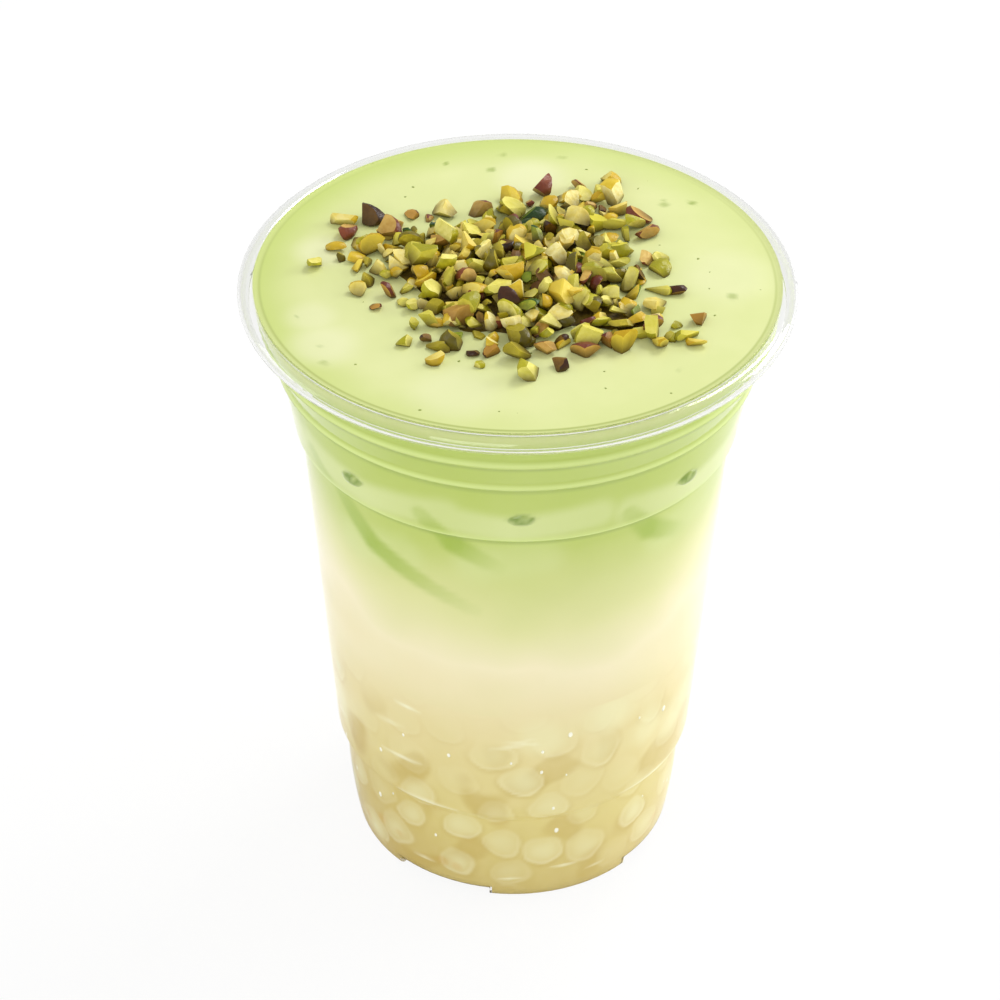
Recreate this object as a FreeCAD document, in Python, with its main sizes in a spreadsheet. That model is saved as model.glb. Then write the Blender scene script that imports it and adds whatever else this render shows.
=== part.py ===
import FreeCAD, Part
import math
import os
import random
import re
import Sketcher

# A filled cup of iced pistachio milk tea. Millimetres and degrees, +Z up.
# The origin is on the cup's axis, in the plane that the cup's feet stand on.
# A direction round the cup is an angle from +X towards +Y.

SIZES = (
    # the sheet and its rolled rim
    ("cup_height", 121.4, "feet to the top of the rolled rim"),
    ("rim_radius", 49.0, "outside of the rolled rim"),
    ("wall", 0.5, "thickness of the clear sheet"),
    ("curl_radius", 1.8, "outside of the sheet rolled over at the rim"),
    ("curl_sweep", 280.0, "how far the sheet is rolled round"),
    # the two stacking ribs and the ledge: insets from the rim, depths below its top
    ("upper_waist_inset", 4.45, "narrowest place of the band above the upper rib"),
    ("upper_waist_depth", 7.2, "its depth"),
    ("upper_rib_inset", 4.15, "crest of the upper rib"),
    ("upper_rib_depth", 8.7, "its depth"),
    ("upper_root_inset", 4.85, "crease under the upper rib"),
    ("upper_root_depth", 9.4, "its depth"),
    ("lower_waist_inset", 6.35, "narrowest place of the band above the lower rib"),
    ("lower_waist_depth", 13.4, "its depth"),
    ("lower_rib_inset", 6.2, "crest of the lower rib"),
    ("lower_rib_depth", 14.8, "its depth"),
    ("lower_root_inset", 7.0, "crease under the lower rib"),
    ("lower_root_depth", 15.5, "its depth"),
    ("ledge_inset", 9.0, "crest of the ledge that cups stack on"),
    ("ledge_depth", 27.7, "its depth"),
    ("ledge_root_inset", 10.25, "wall just under the ledge"),
    ("ledge_root_depth", 28.8, "its depth"),
    # the lens-shaped lugs on the band above the ledge
    ("lug_count", 8, "lugs round the band"),
    ("lug_turn", 1.2, "direction of the first lug"),
    ("lug_depth", 22.5, "middle of a lug below the rim's top"),
    ("lug_length", 4.6, "a lug round the band"),
    ("lug_rise", 2.5, "a lug up the band"),
    ("lug_stand", 0.55, "how far a lug stands proud"),
    # the lower ring and the foot: spreads out from the foot, heights above it
    ("ring_spread", 3.65, "crest of the lower ring"),
    ("ring_height", 24.1, "its height"),
    ("ring_root_spread", 1.85, "wall just under the lower ring"),
    ("ring_root_height", 21.4, "its height"),
    ("belly_radius", 105.0, "swell of the wall between ring and foot"),
    ("foot_radius", 30.1, "outside of the feet"),
    ("heel_spread", 0.35, "wall where the heel's rounding begins"),
    ("heel_round", 0.8, "rounding of the heel and of the feet"),
    ("foot_height", 1.8, "how far the feet stand below the base ring"),
    ("foot_width", 4.0, "a foot across, inwards from its outside"),
    ("foot_count", 4, "feet round the base"),
    ("foot_span", 53.0, "how far one foot reaches round"),
    ("foot_turn", 18.5, "direction of the first foot"),
    ("recess_slope", 1.6, "inner slope of the base ring"),
    ("recess_height", 3.4, "edge of the raised base"),
    ("dome_height", 4.4, "middle of the raised base"),
    # what is in the cup
    ("cream_drop", 0.6, "cream's surface below the rim's top"),
    ("cream_depth", 34.8, "foot of the cream layer below the rim's top"),
    ("bed_height", 51.0, "mean top of the bed of pearls"),
    ("bed_swell", 3.5, "how far that top rises and falls"),
    ("pearl_size", 9.0, "one pearl across"),
    # the chopped nuts on the cream
    ("heap_radius", 21.0, "heap without its spurs"),
    ("heap_height", 5.4, "heap above the cream in its middle"),
    ("heap_edge", 2.2, "heap above the cream at its edge"),
    ("chop_size", 3.4, "one chopped piece"),
)

doc = FreeCAD.newDocument("bubble_tea")
sheet = doc.addObject("Spreadsheet::Sheet", "Sizes")
for row, (alias, value, meaning) in enumerate(SIZES, 1):
    sheet.set(f"A{row}", alias)
    sheet.set(f"B{row}", str(value))
    sheet.setAlias(f"B{row}", alias)
    sheet.set(f"C{row}", meaning)
doc.recompute()


def bound(text):
    # names the sheet in an expression: "wall / 2" becomes "Sizes.wall / 2"
    return re.sub(r"\b(?!pi\b)[a-z_]+\b(?!\()", lambda word: "Sizes." + word.group(0), text)


def value_of(text):
    return float(sheet.evalExpression(bound(text)))


# ---- outlines: corners are (radius, height) expressions ----

CURL_CENTRE = "(rim_radius - curl_radius)"
CURL_LEVEL = "(cup_height - curl_radius)"
FOOT_INNER = "(foot_radius - foot_width)"
HEEL_LEVEL = "(foot_height + heel_round)"
# a foot's span inside the sheet: shorter by the sheet's thickness at each end, as an angle
HOLLOW_SPAN = "(foot_span - 360 * wall / (pi * foot_radius))"
# the part of the sheet's thickness that an inner corner moves by, for a steep and a slanting side
STEEP_SHARE, SLANT_SHARE = 0.4, 0.6
# edges of an outline: which way the arc swells, and whether it is the longer way round
STRAIGHT = None


def swelling(radius, side="right", longer=False):
    return {"radius": radius, "side": side, "longer": longer}


def side_wall(skin):
    # the wall from the heel up to the rolled rim; skin is what is taken off its radius
    corners = [("foot_radius + heel_spread", f"{HEEL_LEVEL} + {skin} / 2")]
    corners.append(("foot_radius + ring_root_spread", "ring_root_height"))
    corners.append(("foot_radius + ring_spread", "ring_height"))
    for place in ("ledge_root", "ledge", "lower_root", "lower_rib", "lower_waist",
                  "upper_root", "upper_rib", "upper_waist"):
        corners.append((f"rim_radius - {place}_inset", f"cup_height - {place}_depth"))
    corners.append((f"{CURL_CENTRE} - curl_radius + wall", CURL_LEVEL))
    edges = [swelling(f"belly_radius - {skin}")] + [STRAIGHT] * (len(corners) - 1)
    return [(f"{radius} - {skin}", height) for radius, height in corners], edges


def base(skin):
    # the raised base and the ring round it, from the axis out to the heel
    corners = [
        ("0", f"dome_height + {skin}"),
        (f"{FOOT_INNER} - recess_slope + {skin} * {STEEP_SHARE}", f"recess_height + {skin}"),
        (f"{FOOT_INNER} + {skin} * {STEEP_SHARE}", f"foot_height + {skin}"),
        (f"foot_radius - heel_round / 2 - {skin}", f"foot_height + {skin}"),
    ]
    return corners, [STRAIGHT] * len(corners)


def body_outline(skin, top):
    # base, wall and then the given top corners back to the axis
    base_corners, base_edges = base(skin)
    wall_corners, wall_edges = side_wall(skin)
    top_corners, top_edges = top
    corners = base_corners + wall_corners + top_corners
    edges = base_edges + wall_edges[:-1] + top_edges + [STRAIGHT]
    return corners, edges


def foot_outline(skin):
    # one hollow foot's section, its top buried in the base ring
    corners = [
        (f"{FOOT_INNER} + {skin}", f"{HEEL_LEVEL} + {skin} / 2"),
        (f"{FOOT_INNER} + {skin}", f"heel_round / 2 + {skin} * {SLANT_SHARE}"),
        (f"{FOOT_INNER} + heel_round / 2 + {skin} * {SLANT_SHARE}", skin),
        (f"foot_radius - heel_round - {skin} * {SLANT_SHARE}", skin),
        (f"foot_radius - {skin}", f"heel_round + {skin} * {SLANT_SHARE}"),
        (f"foot_radius + heel_spread - {skin}", f"{HEEL_LEVEL} + {skin} / 2"),
    ]
    return corners, [STRAIGHT] * len(corners)


def curl_outline():
    # the sheet rolled outwards over the rim, from the wall's top to its free edge
    free_edge = "(180 - curl_sweep)"
    inside = "(curl_radius - wall)"
    corners = [
        (f"{CURL_CENTRE} - curl_radius", CURL_LEVEL),
        (f"{CURL_CENTRE} - {inside}", CURL_LEVEL),
        (f"{CURL_CENTRE} + {inside} * cos({free_edge})", f"{CURL_LEVEL} + {inside} * sin({free_edge})"),
        (f"{CURL_CENTRE} + curl_radius * cos({free_edge})", f"{CURL_LEVEL} + curl_radius * sin({free_edge})"),
    ]
    edges = [
        STRAIGHT,
        swelling(inside, "left", longer=True),
        STRAIGHT,
        swelling("curl_radius", "right", longer=True),
    ]
    return corners, edges


def cream_top():
    # the filling's top: up the rolled rim's inner side to the level, then in to the axis
    reach = "sqrt(curl_radius ^ 2 - (curl_radius - cream_drop) ^ 2)"
    level = "cup_height - cream_drop"
    corners = [(f"{CURL_CENTRE} - {reach}", level), ("0", level)]
    return corners, [swelling("curl_radius", "left"), STRAIGHT]


# ---- building steps ----

# a sketch arc runs anticlockwise: for each sketch, the arcs drawn the other way,
# which start at their second point
sketch_reversed = {}


def origin_feature(body, role):
    return next(item for item in body.Origin.OriginFeatures if item.Role == role)


def arc_between(start, end, radius, side, longer):
    chord = end - start
    middle = (start + end) / 2
    outward = FreeCAD.Vector(chord.y, -chord.x, 0).normalize()
    if side == "left":
        outward = -outward
    offset = math.sqrt(radius ** 2 - (chord.Length / 2) ** 2)
    centre = middle + outward * (offset if longer else -offset)
    return Part.Arc(start, centre + outward * radius, end)


def pin(sketch, index, axis, kind, text):
    # ties one coordinate of an edge's first point to the sheet
    if value_of(text) == 0:
        sketch.addConstraint(Sketcher.Constraint("PointOnObject", index, start_of(sketch, index), axis))
        return
    number = sketch.addConstraint(
        Sketcher.Constraint(kind, -1, 1, index, start_of(sketch, index), value_of(text)))
    sketch.setExpression(f"Constraints[{number}]", bound(text))


def start_of(sketch, index):
    return 2 if index in sketch_reversed[sketch.Name] else 1


def end_of(sketch, index):
    return 3 - start_of(sketch, index)


def profile(body, name, outline, turn=None):
    # a closed, fully constrained section in the plane through the axis
    corners, edges = outline
    sketch = body.newObject("Sketcher::SketchObject", name)
    sketch.AttachmentSupport = (origin_feature(body, "XZ_Plane"), [""])
    sketch.MapMode = "FlatFace"
    if turn:
        sketch.AttachmentOffset = FreeCAD.Placement(
            FreeCAD.Vector(), FreeCAD.Rotation(FreeCAD.Vector(0, 1, 0), value_of(turn)))
        sketch.setExpression("AttachmentOffset.Rotation.Angle", bound(turn))
    sketch_reversed[sketch.Name] = set()
    points = [FreeCAD.Vector(value_of(radius), value_of(height), 0) for radius, height in corners]
    for index, edge in enumerate(edges):
        start, end = points[index], points[(index + 1) % len(points)]
        if edge is STRAIGHT:
            sketch.addGeometry(Part.LineSegment(start, end))
            continue
        arc = arc_between(start, end, value_of(edge["radius"]), edge["side"], edge["longer"])
        sketch.addGeometry(arc)
        if (sketch.getPoint(index, 1) - start).Length > (sketch.getPoint(index, 2) - start).Length:
            sketch_reversed[sketch.Name].add(index)
    for index, (edge, (radius, height)) in enumerate(zip(edges, corners)):
        following = (index + 1) % len(edges)
        sketch.addConstraint(Sketcher.Constraint(
            "Coincident", index, end_of(sketch, index), following, start_of(sketch, following)))
        pin(sketch, index, -2, "DistanceX", radius)
        pin(sketch, index, -1, "DistanceY", height)
        if edge is not STRAIGHT:
            number = sketch.addConstraint(Sketcher.Constraint("Radius", index, value_of(edge["radius"])))
            sketch.setExpression(f"Constraints[{number}]", bound(edge["radius"]))
    doc.recompute()
    return sketch


def spin(body, kind, sketch, span=None):
    # a full turn about the axis, or a span centred on the sketch's own plane
    feature = body.newObject(f"PartDesign::{kind}", f"{sketch.Name}_{kind.lower()}")
    feature.Profile = sketch
    feature.ReferenceAxis = (sketch, ["V_Axis"])
    feature.Angle = 360
    if span:
        feature.Midplane = True
        feature.setExpression("Angle", bound(span))
    doc.recompute()
    return feature


def ring_of(body, feature, count):
    pattern = body.newObject("PartDesign::PolarPattern", f"{feature.Name}_ring")
    pattern.Originals = [feature]
    pattern.Axis = (origin_feature(body, "Z_Axis"), [""])
    pattern.Angle = 360
    pattern.setExpression("Occurrences", bound(count))
    body.Tip = pattern
    doc.recompute()
    return pattern


def feet(body, kind, skin, span):
    sketch = profile(body, f"{body.Name}_{kind.lower()}_foot", foot_outline(skin), turn="foot_turn")
    ring_of(body, spin(body, kind, sketch, span), "foot_count")


def lugs(body):
    # each lug is an ellipsoid with its middle in the wall, so half of it stands proud
    level = "(cup_height - lug_depth)"
    lower = "(cup_height - ledge_depth)"
    share = f"(({level} - {lower}) / (ledge_depth - lower_root_depth))"
    radius = f"(rim_radius - ledge_inset + (ledge_inset - lower_root_inset) * {share})"
    lug = body.newObject("PartDesign::AdditiveEllipsoid", "lug")
    lug.AttachmentSupport = (origin_feature(body, "XY_Plane"), [""])
    lug.MapMode = "FlatFace"
    lug.AttachmentOffset = FreeCAD.Placement(
        FreeCAD.Vector(), FreeCAD.Rotation(FreeCAD.Vector(0, 0, 1), value_of("lug_turn")))
    lug.setExpression("AttachmentOffset.Rotation.Angle", bound("lug_turn"))
    lug.setExpression("AttachmentOffset.Base.x", bound(f"{radius} * cos(lug_turn)"))
    lug.setExpression("AttachmentOffset.Base.y", bound(f"{radius} * sin(lug_turn)"))
    lug.setExpression("AttachmentOffset.Base.z", bound(level))
    lug.setExpression("Radius1", bound("lug_rise / 2"))
    lug.setExpression("Radius2", bound("lug_stand"))
    lug.setExpression("Radius3", bound("lug_length / 2"))
    doc.recompute()
    ring_of(body, lug, "lug_count")


def disc(name, bottom, depth):
    # a round slab wide enough to take in the whole cup, for cutting the filling into layers
    slab = doc.addObject("Part::Cylinder", name)
    slab.setExpression("Radius", bound("rim_radius"))
    slab.setExpression("Height", bound(depth))
    slab.setExpression("Placement.Base.z", bound(bottom))
    return slab


def combine(kind, label, base_shape, tool):
    result = doc.addObject(f"Part::{kind}", label)
    result.Base = base_shape
    result.Tool = tool
    result.Label = label
    return result


# ---- the cup: one sheet, hollow feet and a rolled rim ----

def build_cup():
    cup = doc.addObject("PartDesign::Body", "cup")
    cup.Label = "cup"
    flat_top = ([("0", CURL_LEVEL)], [STRAIGHT])
    spin(cup, "Revolution", profile(cup, "outside", body_outline("0", flat_top)))
    feet(cup, "Revolution", "0", "foot_span")
    lugs(cup)
    spin(cup, "Groove", profile(cup, "inside", body_outline("wall", flat_top)))
    feet(cup, "Groove", "wall", HOLLOW_SPAN)
    spin(cup, "Revolution", profile(cup, "curl", curl_outline()))
    return cup


# ---- the filling: the cup's inside up to the cream's surface, in three layers ----

def build_filling():
    filling = doc.addObject("PartDesign::Body", "filling")
    spin(filling, "Revolution", profile(filling, "contents", body_outline("wall", cream_top())))
    feet(filling, "Revolution", "wall", HOLLOW_SPAN)
    return filling


BED_WAVES = (
    # run along x, run along y, length in pearls, start
    (1.0, 0.0, 1.0, 0.6),
    (-0.4, 1.0, 1.3, 2.1),
    (1.0, 1.0, 0.8, 4.0),
)


def bed_level(x, y):
    # the pearls' uneven top: crossing waves, each a few pearls long
    pearl = value_of("pearl_size")
    waves = sum(math.sin((x * along + y * across) / (length * pearl) + start)
                for along, across, length, start in BED_WAVES)
    return value_of("bed_height") + value_of("bed_swell") * waves / len(BED_WAVES)


def build_bed_mould():
    # everything under the pearls' uneven top, out past the cup's wall
    reach = value_of("rim_radius")
    count = 2 * math.ceil(reach / (value_of("pearl_size") / 2))
    ticks = [reach * (2 * number / count - 1) for number in range(count + 1)]
    top = Part.BSplineSurface()
    top.interpolate([[FreeCAD.Vector(x, y, bed_level(x, y)) for y in ticks] for x in ticks])
    depth = value_of("bed_height") + 2 * value_of("bed_swell")
    mould = doc.addObject("Part::Feature", "bed_mould")
    mould.Shape = top.toShape().extrude(FreeCAD.Vector(0, 0, -depth))
    return mould


def build_layers(filling):
    mould = build_bed_mould()
    lower = combine("Common", "below_cream", filling, disc("lower_slab", "0", "cup_height - cream_depth"))
    pearl_bed = combine("Common", "pearl_bed", lower, mould)
    milk_tea = combine("Cut", "milk_tea", lower, mould)
    cream_slab = disc("cream_slab", "cup_height - cream_depth", "cream_depth")
    cream = combine("Common", "pistachio_cream", filling, cream_slab)
    return [pearl_bed, milk_tea, cream]


# ---- the chopped nuts: one low heap of flat-topped chunks with spurs, seated on the cream ----

SPURS = (
    # direction, further reach, how wide it fans out
    (58.0, 11.0, 13.0),
    (172.0, 9.0, 16.0),
    (152.0, 8.0, 10.0),
    (-33.0, 14.0, 13.0),
    (-122.0, 4.0, 12.0),
    (-84.0, 3.0, 14.0),
)
CHUNK_SHIFT = 0.3       # how far a chunk strays from its place in the grid, in chunks
CHUNK_TOP = (0.32, 0.86)    # how far each corner of a chunk's top is from its middle, of its foot's
CHUNK_LOW = 0.62        # lowest chunk, of the heap's height where it lies
VALLEY = (0.25, 0.5)    # height left between chunks, of that height
CHUNK_TILT = 0.42       # steepest top, as rise over run
ROW_PITCH = math.sqrt(3) / 2


def heap_reach(angle):
    reach = value_of("heap_radius")
    for direction, further, fan in SPURS:
        apart = (angle - direction + 180) % 360 - 180
        reach += further * math.exp(-(apart / fan) ** 2)
    return reach


def heap_share(place):
    # how far out a place is: 0 in the heap's middle, 1 at its outline
    return place.Length / heap_reach(math.degrees(math.atan2(place.y, place.x)))


def heap_rise(place):
    height, edge = value_of("heap_height"), value_of("heap_edge")
    return edge + (height - edge) * max(0, 1 - heap_share(place) ** 2)


def around(key):
    # the six neighbours of a place in a triangular grid, anticlockwise
    row, column = key
    lean = row % 2
    return [(row, column + 1), (row + 1, column + lean), (row + 1, column + lean - 1),
            (row, column - 1), (row - 1, column + lean - 1), (row - 1, column + lean)]


def chunk_places(chance):
    # a jittered triangular grid, and the chunks in it that lie in the heap and hang together
    step = value_of("chop_size")
    span = math.ceil(2 * value_of("heap_radius") / step)
    places = {}
    for row in range(-span, span + 1):
        for column in range(-span, span + 1):
            x = column + 0.5 * (row % 2) + chance.uniform(-CHUNK_SHIFT, CHUNK_SHIFT)
            y = ROW_PITCH * row + chance.uniform(-CHUNK_SHIFT, CHUNK_SHIFT)
            places[row, column] = FreeCAD.Vector(x * step, y * step, 0)
    chunks, waiting = set(), [(0, 0)]
    while waiting:
        key = waiting.pop()
        if key not in chunks and heap_share(places[key]) < 1:
            chunks.add(key)
            waiting.extend(around(key))
    return places, sorted(chunks)


def build_heap():
    chance = random.Random(7)
    places, chunks = chunk_places(chance)
    level = FreeCAD.Vector(0, 0, value_of("cup_height - cream_drop"))
    points, triangles, valleys = [], [], {}

    def add(point):
        points.append(point + level)
        return len(points) - 1

    def valley(*corner):
        # where three chunks meet: one point between them and one under it on the cream
        corner = tuple(sorted(corner))
        if corner not in valleys:
            middle = sum((places[key] for key in corner), FreeCAD.Vector()) / 3
            rise = FreeCAD.Vector(0, 0, heap_rise(middle) * chance.uniform(*VALLEY))
            valleys[corner] = (add(middle + rise), add(middle))
        return valleys[corner]

    rims = {}
    for key in chunks:
        ring = around(key)
        rim = [valley(key, ring[number - 1], ring[number]) for number in range(len(ring))]
        rims[key] = rim
        rise = heap_rise(places[key]) * chance.uniform(CHUNK_LOW, 1)
        lean_x, lean_y = (chance.uniform(-CHUNK_TILT, CHUNK_TILT) for _ in range(2))
        top = []
        for above, below in rim:
            arm = (points[below] - level - places[key]) * chance.uniform(*CHUNK_TOP)
            arm.z = rise + lean_x * arm.x + lean_y * arm.y
            top.append(add(places[key] + arm))
        foot, crown = add(places[key]), add(places[key] + FreeCAD.Vector(0, 0, rise))
        for number, (above, below) in enumerate(rim):
            before_above, before_below = rim[number - 1]
            triangles.append((before_above, above, top[number]))
            triangles.append((before_above, top[number], top[number - 1]))
            triangles.append((crown, top[number - 1], top[number]))
            triangles.append((foot, below, before_below))

    kept = set(chunks)
    for key in chunks:
        for number, neighbour in enumerate(around(key)):
            if neighbour not in kept:
                # the heap's outer side, from the cream up to the rim of the outermost chunks
                start_above, start_below = rims[key][number]
                end_above, end_below = rims[key][(number + 1) % len(rims[key])]
                triangles.append((start_below, end_below, end_above))
                triangles.append((start_below, end_above, start_above))
    skin = Part.Shape()
    skin.makeShapeFromMesh((points, triangles), 0.01)
    heap = doc.addObject("Part::Feature", "chopped_pistachios")
    heap.Shape = Part.makeSolid(skin).removeSplitter()
    heap.Label = "chopped_pistachios"
    return heap


# ---- build, check and write ----

cup = build_cup()
layers = build_layers(build_filling())
heap = build_heap()
doc.recompute()

sub_parts = [cup] + layers + [heap]
for item in doc.Objects:
    if "Invalid" in item.State or "Error" in item.State:
        raise RuntimeError(f"{item.Name} failed: {item.State}")
for item in sub_parts:
    if item.Shape.isNull() or not item.Shape.isValid():
        raise RuntimeError(f"{item.Label} has no valid shape")
    if len(item.Shape.Solids) != 1:
        raise RuntimeError(f"{item.Label} has {len(item.Shape.Solids)} solids")

os.makedirs("parts", exist_ok=True)
for item in sub_parts:
    item.Shape.exportStep(f"parts/{item.Label}.step")
    box = item.Shape.BoundBox
    print(f"{item.Label}: {item.Shape.Volume:.0f} mm3, z {box.ZMin:.2f} to {box.ZMax:.2f}")
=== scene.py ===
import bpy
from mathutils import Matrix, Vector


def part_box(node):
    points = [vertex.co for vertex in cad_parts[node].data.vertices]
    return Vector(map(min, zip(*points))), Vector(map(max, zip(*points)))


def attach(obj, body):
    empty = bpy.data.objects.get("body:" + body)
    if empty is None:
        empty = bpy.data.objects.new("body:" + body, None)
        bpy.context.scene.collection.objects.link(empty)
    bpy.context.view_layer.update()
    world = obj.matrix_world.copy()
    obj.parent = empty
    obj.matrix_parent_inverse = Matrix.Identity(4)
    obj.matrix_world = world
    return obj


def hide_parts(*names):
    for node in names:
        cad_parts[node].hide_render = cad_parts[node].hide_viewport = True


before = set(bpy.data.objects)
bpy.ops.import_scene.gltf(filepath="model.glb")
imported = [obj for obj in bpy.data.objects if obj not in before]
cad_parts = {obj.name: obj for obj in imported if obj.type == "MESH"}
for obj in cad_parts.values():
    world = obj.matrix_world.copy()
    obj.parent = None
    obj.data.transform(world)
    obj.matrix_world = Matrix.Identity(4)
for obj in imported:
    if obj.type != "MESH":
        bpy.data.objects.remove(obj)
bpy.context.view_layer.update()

import math
import random

import bmesh
import bpy
from mathutils import Euler, Matrix, Vector, noise

mm = 0.001
scene = bpy.context.scene
scene.view_settings.view_transform = "Standard"


def srgb(red, green, blue):
    # a colour as it looks on screen, 0 to 255, turned into the renderer's light values
    values = [channel / 255 for channel in (red, green, blue)]
    return [v / 12.92 if v <= 0.04045 else ((v + 0.055) / 1.055) ** 2.4 for v in values] + [1.0]


def smoothStep(low, high, value):
    share = min(max((value - low) / (high - low), 0.0), 1.0)
    return share * share * (3 - 2 * share)


# a ring of the wall has many points, and lies further out than the hollows under the base
ringSet = {"points": 60, "reach": 29.5 * mm}


def readWall():
    # the drink's inner wall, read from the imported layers: a radius for each height
    levels = {}
    for name in ("pearl_bed", "milk_tea", "pistachio_cream"):
        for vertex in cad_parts[name].data.vertices:
            height = round(vertex.co.z, 5)
            reach = math.hypot(vertex.co.x, vertex.co.y)
            most, count = levels.get(height, (0.0, 0))
            levels[height] = (max(most, reach), count + 1)
    return sorted((height, most) for height, (most, count) in levels.items()
                  if count > ringSet["points"] and most > ringSet["reach"])


wall = readWall()
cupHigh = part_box("cup")[1]
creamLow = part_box("pistachio_cream")[0]
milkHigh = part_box("milk_tea")[1]
creamLevel = wall[-1][0]
print("frame loaded: cup", round(cupHigh.z / mm, 1), "mm tall, cream to", round(creamLevel / mm, 1))


def wallRadius(height):
    if height <= wall[0][0]:
        return wall[0][1]
    for (lowZ, lowR), (highZ, highR) in zip(wall, wall[1:]):
        if height <= highZ:
            return lowR + (highR - lowR) * (height - lowZ) / max(highZ - lowZ, 1e-9)
    return wall[-1][1]


def onWall(azimuth, height, inset=0.0):
    # azimuth in degrees, 0 at the front (-Y), growing towards +X
    reach = wallRadius(height) - inset
    turn = math.radians(azimuth)
    return Vector((reach * math.sin(turn), -reach * math.cos(turn), height))


def azimuthOf(place):
    return math.degrees(math.atan2(place.x, -place.y))


def apartOnWall(azimuth, height, toAzimuth, toHeight):
    # the way from one point of the wall to another, in mm round it and up it
    turn = (azimuth - toAzimuth + 180) % 360 - 180
    return math.radians(turn) * wallRadius(height * mm) / mm, height - toHeight


# camera, lamps and floor
cameraSet = {"elevation": 37.454, "distance": 0.59767, "focal": 116.99, "sensor": 36.0,
             "roll": 0.436, "aimX": -2.79 * mm, "aimZ": 71.96 * mm}


def makeCamera():
    lift, roll = math.radians(cameraSet["elevation"]), math.radians(cameraSet["roll"])
    back = Vector((0, -math.cos(lift), math.sin(lift)))
    right, up = Vector((1, 0, 0)), Vector((0, math.sin(lift), math.cos(lift)))
    turnedRight = right * math.cos(roll) + up * math.sin(roll)
    turnedUp = up * math.cos(roll) - right * math.sin(roll)
    place = Vector((cameraSet["aimX"], 0, cameraSet["aimZ"])) + back * cameraSet["distance"]
    camera = bpy.data.objects.new("camera", bpy.data.cameras.new("camera"))
    camera.data.lens = cameraSet["focal"]
    camera.data.sensor_width = cameraSet["sensor"]
    camera.matrix_world = Matrix((
        (turnedRight.x, turnedUp.x, back.x, place.x),
        (turnedRight.y, turnedUp.y, back.y, place.y),
        (turnedRight.z, turnedUp.z, back.z, place.z),
        (0, 0, 0, 1)))
    scene.collection.objects.link(camera)
    scene.camera = camera


lampSet = {
    # name: place in metres, size, watts
    "rightBox": ((0.70, 0.28, 0.30), 0.40, 3.3),
    "leftBox": ((-0.72, 0.10, 0.34), 0.45, 0.9),
    "topBox": ((0.34, 0.44, 0.70), 0.26, 2.5),
    "frontBox": ((-0.25, -0.85, 0.40), 0.50, 1.8),
}
lampAim = (0, 0, 0.07)    # the point that every lamp faces
# strength of the world as light, in reflections and as it is seen
worldSet = {"light": 0.66, "mirrored": 0.42, "seen": 1.0}
floorSet = {"size": 6.0, "colour": (0.93, 0.93, 0.93, 1.0), "white": 0.9}


def makeLamps():
    for name, (place, size, watts) in lampSet.items():
        lamp = bpy.data.lights.new(name, "AREA")
        lamp.shape = "SQUARE"
        lamp.size = size
        lamp.energy = watts
        holder = bpy.data.objects.new(name, lamp)
        holder.location = place
        aim = Vector(lampAim) - Vector(place)
        holder.rotation_euler = aim.to_track_quat("-Z", "Y").to_euler()
        scene.collection.objects.link(holder)


def whiteToEyes(tree):
    # 1 for rays from the camera and through clear sheet, else 0
    path = tree.nodes.new("ShaderNodeLightPath")
    either = tree.nodes.new("ShaderNodeMath")
    either.operation = "MAXIMUM"
    tree.links.new(path.outputs["Is Camera Ray"], either.inputs[0])
    tree.links.new(path.outputs["Is Transmission Ray"], either.inputs[1])
    return either.outputs[0]


def makeWorld():
    world = bpy.data.worlds.new("studio")
    world.use_nodes = True
    tree = world.node_tree
    tree.nodes.clear()
    seen = tree.nodes.new("ShaderNodeBackground")
    seen.inputs["Strength"].default_value = worldSet["seen"]
    seen.inputs["Color"].default_value = (1, 1, 1, 1)
    light = tree.nodes.new("ShaderNodeBackground")
    path = tree.nodes.new("ShaderNodeLightPath")
    strength = tree.nodes.new("ShaderNodeMapRange")
    strength.inputs["To Min"].default_value = worldSet["light"]
    strength.inputs["To Max"].default_value = worldSet["mirrored"]
    tree.links.new(path.outputs["Is Glossy Ray"], strength.inputs["Value"])
    tree.links.new(strength.outputs[0], light.inputs["Strength"])
    light.inputs["Color"].default_value = (1, 1, 1, 1)
    mix = tree.nodes.new("ShaderNodeMixShader")
    out = tree.nodes.new("ShaderNodeOutputWorld")
    tree.links.new(whiteToEyes(tree), mix.inputs[0])
    tree.links.new(light.outputs[0], mix.inputs[1])
    tree.links.new(seen.outputs[0], mix.inputs[2])
    tree.links.new(mix.outputs[0], out.inputs["Surface"])
    scene.world = world


def makeFloor():
    bm = bmesh.new()
    bmesh.ops.create_grid(bm, x_segments=1, y_segments=1, size=floorSet["size"] / 2)
    mesh = bpy.data.meshes.new("floor")
    bm.to_mesh(mesh)
    bm.free()
    floor = bpy.data.objects.new("floor", mesh)
    scene.collection.objects.link(floor)
    material = bpy.data.materials.new("paleFloor")
    material.use_nodes = True
    tree = material.node_tree
    shade = tree.nodes["Principled BSDF"]
    shade.inputs["Base Color"].default_value = floorSet["colour"]
    shade.inputs["Roughness"].default_value = 0.9
    shade.inputs["Specular IOR Level"].default_value = 0.0
    glow = tree.nodes.new("ShaderNodeEmission")
    share = tree.nodes.new("ShaderNodeMath")
    share.operation = "MULTIPLY"
    share.inputs[1].default_value = floorSet["white"]
    tree.links.new(whiteToEyes(tree), share.inputs[0])
    mix = tree.nodes.new("ShaderNodeMixShader")
    tree.links.new(share.outputs[0], mix.inputs[0])
    tree.links.new(shade.outputs[0], mix.inputs[1])
    tree.links.new(glow.outputs[0], mix.inputs[2])
    tree.links.new(mix.outputs[0], tree.nodes["Material Output"].inputs["Surface"])
    mesh.materials.append(material)


makeCamera()
makeLamps()
makeWorld()
makeFloor()
print("camera, lamps and floor placed")


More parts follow.
